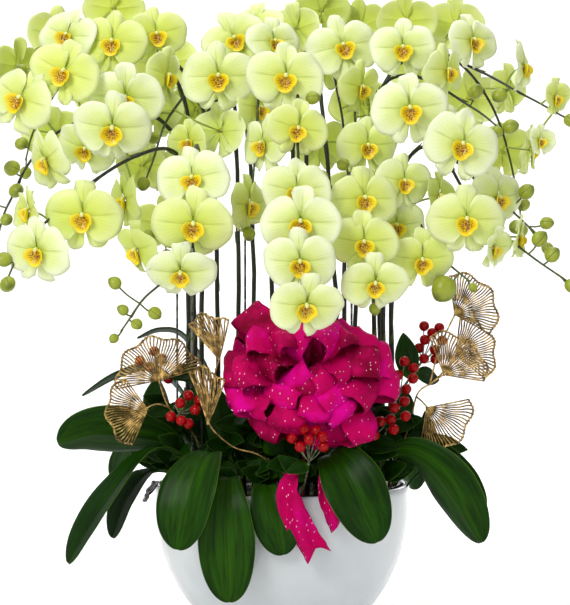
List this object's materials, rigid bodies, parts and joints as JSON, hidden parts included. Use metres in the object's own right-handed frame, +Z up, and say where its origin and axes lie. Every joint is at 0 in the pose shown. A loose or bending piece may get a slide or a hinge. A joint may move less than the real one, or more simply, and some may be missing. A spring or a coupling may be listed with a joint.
{
  "type": "potted orchid",
  "caption": "Arrangement of pale yellow-green moth orchids on arching spikes in a round white bowl, with strap leaves, a magenta ribbon bow, gold fan picks and red berry sprigs.",
  "frame": {"origin": "centre of the bowl's flat foot, on the surface it stands on", "axes": "+Z up, the side with the bow faces -Y, +X to the viewer's right"},
  "size_m": [0.7064, 0.4961, 0.8044],
  "materials": {
    "bowl_white": "white gloss",
    "bark_mix": "loose dark bark",
    "flower_spike": "waxy living petals and stems",
    "orchid_leaf": "waxy living leaf",
    "ribbon_magenta": "non-woven ribbon with glitter specks",
    "gold_wire": "gold plated wire",
    "berry_red": "glossy artificial berries",
    "stake_dark": "green coated wire"
  },
  "bodies": {
    "root": {"berry_sprig_centre": "berry_red", "berry_sprig_left": "berry_red", "berry_sprig_right": "berry_red", "bow": "ribbon_magenta", "gold_pick_left": "gold_wire", "gold_pick_middle": "gold_wire", "gold_pick_right": "gold_wire", "growing_medium": "bark_mix", "leaf_back": "orchid_leaf", "leaf_back_left": "orchid_leaf", "leaf_back_mid": "orchid_leaf", "leaf_back_right": "orchid_leaf", "leaf_front_long": "orchid_leaf", "leaf_front_paddle": "orchid_leaf", "leaf_front_right": "orchid_leaf", "leaf_front_short": "orchid_leaf", "leaf_left_dark": "orchid_leaf", "leaf_left_level": "orchid_leaf", "leaf_left_long": "orchid_leaf", "leaf_left_slim": "orchid_leaf", "leaf_left_upper": "orchid_leaf", "leaf_right_dark": "orchid_leaf", "leaf_right_paddle": "orchid_leaf", "leaf_upright": "orchid_leaf", "leaf_upright_slim": "orchid_leaf", "pot": "bowl_white", "ribbon_tail_long": "ribbon_magenta", "ribbon_tail_short": "ribbon_magenta", "spike_back_centre": "flower_spike", "spike_back_centre_left": "flower_spike", "spike_back_left": "flower_spike", "spike_back_right": "flower_spike", "spike_centre_front": "flower_spike", "spike_centre_left": "flower_spike", "spike_centre_right": "flower_spike", "spike_centre_slim": "flower_spike", "spike_left_front": "flower_spike", "spike_left_high": "flower_spike", "spike_left_low": "flower_spike", "spike_left_top": "flower_spike", "spike_right_buds": "flower_spike", "spike_right_column": "flower_spike", "spike_right_front": "flower_spike", "spike_right_long": "flower_spike", "spike_right_low": "flower_spike", "spike_right_top": "flower_spike", "stake_1": "stake_dark", "stake_2": "stake_dark", "stake_3": "stake_dark", "stake_4": "stake_dark", "stake_5": "stake_dark", "stake_6": "stake_dark"}
  },
  "joints": []
}
